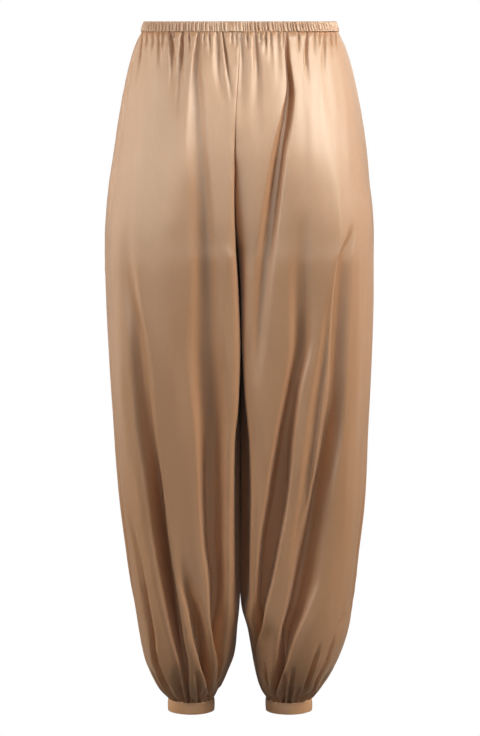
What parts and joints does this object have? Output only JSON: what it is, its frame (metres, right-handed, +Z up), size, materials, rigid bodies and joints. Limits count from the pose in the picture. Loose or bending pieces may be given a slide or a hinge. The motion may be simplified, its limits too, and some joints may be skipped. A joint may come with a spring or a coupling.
{
  "type": "balloon pants",
  "caption": "Full-length satin balloon pants with a gathered elastic waist, wide legs and gathered ankle cuffs, open at the waist and ankles and filled out as when worn.",
  "frame": {"origin": "centre of the waist opening, level with the waistband's top edge", "axes": "+Z up towards the wearer's waist, -Y the front, +X the wearer's left"},
  "size_m": [0.406, 0.2815, 1.047],
  "materials": {
    "body_satin": "soft champagne satin, smooth and glossy",
    "band_satin": "the same satin, ribbed by the elastic",
    "cuff_satin": "the same satin, plain and pressed flat"
  },
  "bodies": {
    "root": {"waistband": "band_satin", "front_right": "body_satin", "front_left": "body_satin", "back_right": "body_satin", "back_left": "body_satin", "cuff_right": "cuff_satin", "cuff_left": "cuff_satin"}
  },
  "joints": []
}
